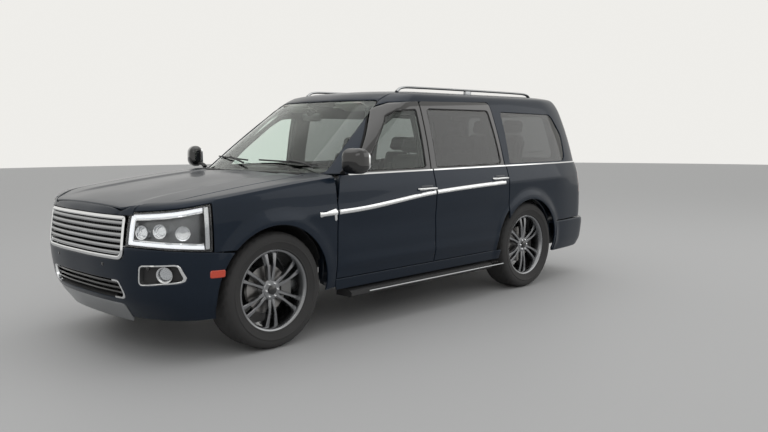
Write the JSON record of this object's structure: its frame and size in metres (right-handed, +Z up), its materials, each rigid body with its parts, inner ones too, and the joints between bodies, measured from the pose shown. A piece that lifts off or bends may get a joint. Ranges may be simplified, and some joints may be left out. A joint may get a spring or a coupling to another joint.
{
  "type": "full-size three-row sport utility vehicle",
  "caption": "Full-size three-row SUV with hinged doors, hood and tailgate, steered front wheels and free-turning road wheels, on a ladder frame.",
  "frame": {"origin": "centre of the bounding box on the floor, under the middle of the vehicle", "axes": "+Z up, -Y towards the front, +X towards the vehicle's left"},
  "size_m": [2.3742, 5.306, 1.9249],
  "materials": {
    "paint": "dark blue metallic gloss",
    "clear_glass": "clear, light green tint",
    "dark_glass": "dark privacy tint",
    "red_lens": "clear red",
    "clear_lens": "clear over bright reflectors",
    "bright_trim": "bright",
    "black_plastic": "grained",
    "frame_steel": "black chassis paint",
    "cast_metal": "as cast",
    "steel_pipe": "satin",
    "tyre_rubber": "matt",
    "alloy": "machined and lacquered",
    "dark_trim": "soft touch",
    "seat_leather": "fine grain"
  },
  "bodies": {
    "body": {"side_frame_left": "paint", "side_frame_right": "paint", "tail_lamps": "red_lens", "quarter_glass": "dark_glass", "windshield": "clear_glass", "roof": "paint", "cowl": "black_plastic", "fenders": "paint", "headlamps": "clear_lens", "grille": "bright_trim", "front_bumper": "paint", "rear_bumper": "paint", "frame_front": "frame_steel", "frame_middle": "frame_steel", "frame_rear": "frame_steel", "front_suspension": "frame_steel", "rear_suspension": "frame_steel", "engine_block": "cast_metal", "driveline": "cast_metal", "radiator": "black_plastic", "fuel_tank": "black_plastic", "exhaust": "steel_pipe", "spare_wheel": "tyre_rubber", "floor_pan": "frame_steel", "firewall": "frame_steel", "wheel_liners": "black_plastic", "dashboard": "dark_trim", "console": "dark_trim", "steering_wheel": "dark_trim", "front_seats": "seat_leather", "middle_seat": "seat_leather", "rear_seat": "seat_leather", "running_boards": "black_plastic", "roof_rails": "bright_trim"},
    "hood": {"hood": "paint"},
    "tailgate": {"tailgate": "paint", "tailgate_glass": "dark_glass"},
    "front_door_left": {"front_door_left": "paint", "front_door_glass_left": "clear_glass", "mirror_left": "paint"},
    "rear_door_left": {"rear_door_left": "paint", "rear_door_glass_left": "dark_glass"},
    "knuckle_left": {"knuckle_left": "cast_metal"},
    "front_door_right": {"front_door_right": "paint", "front_door_glass_right": "clear_glass", "mirror_right": "paint"},
    "rear_door_right": {"rear_door_right": "paint", "rear_door_glass_right": "dark_glass"},
    "knuckle_right": {"knuckle_right": "cast_metal"},
    "wheel_front_left": {"tyre_front_left": "tyre_rubber", "rim_front_left": "alloy"},
    "wheel_front_right": {"tyre_front_right": "tyre_rubber", "rim_front_right": "alloy"},
    "wheel_rear_left": {"tyre_rear_left": "tyre_rubber", "rim_rear_left": "alloy"},
    "wheel_rear_right": {"tyre_rear_right": "tyre_rubber", "rim_rear_right": "alloy"}
  },
  "joints": [
    {"name": "front_door_left_hinge", "type": "hinge", "parent": "body", "child": "front_door_left", "pos_m": [0.994, -1.085, 0.8], "axis": [0, 0, -1], "range_deg": [0, 68]},
    {"name": "rear_door_left_hinge", "type": "hinge", "parent": "body", "child": "rear_door_left", "pos_m": [0.994, 0.03, 0.8], "axis": [0, 0, -1], "range_deg": [0, 66]},
    {"name": "steer_left", "type": "hinge", "parent": "body", "child": "knuckle_left", "pos_m": [0.755, -1.683, 0.417], "axis": [0, 0, 1], "range_deg": [-35, 35]},
    {"name": "spin_front_left", "type": "hinge", "parent": "knuckle_left", "child": "wheel_front_left", "pos_m": [0.855, -1.683, 0.417], "axis": [1, 0, 0], "continuous": true},
    {"name": "spin_rear_left", "type": "hinge", "parent": "body", "child": "wheel_rear_left", "pos_m": [0.855, 1.392, 0.417], "axis": [1, 0, 0], "continuous": true},
    {"name": "front_door_right_hinge", "type": "hinge", "parent": "body", "child": "front_door_right", "pos_m": [-0.994, -1.085, 0.8], "axis": [0, 0, 1], "range_deg": [0, 68]},
    {"name": "rear_door_right_hinge", "type": "hinge", "parent": "body", "child": "rear_door_right", "pos_m": [-0.994, 0.03, 0.8], "axis": [0, 0, 1], "range_deg": [0, 66]},
    {"name": "steer_right", "type": "hinge", "parent": "body", "child": "knuckle_right", "pos_m": [-0.755, -1.683, 0.417], "axis": [0, 0, 1], "range_deg": [-35, 35]},
    {"name": "spin_front_right", "type": "hinge", "parent": "knuckle_right", "child": "wheel_front_right", "pos_m": [-0.855, -1.683, 0.417], "axis": [1, 0, 0], "continuous": true},
    {"name": "spin_rear_right", "type": "hinge", "parent": "body", "child": "wheel_rear_right", "pos_m": [-0.855, 1.392, 0.417], "axis": [1, 0, 0], "continuous": true},
    {"name": "hood_hinge", "type": "hinge", "parent": "body", "child": "hood", "pos_m": [0, -1.192, 1.172], "axis": [-1, 0, 0], "range_deg": [0, 50]},
    {"name": "tailgate_hinge", "type": "hinge", "parent": "body", "child": "tailgate", "pos_m": [0, 2.215, 1.838], "axis": [1, 0, 0], "range_deg": [0, 82]}
  ],
  "couplings": [
    {"joint": "steer_right", "follows": "steer_left", "ratio": 1}
  ]
}
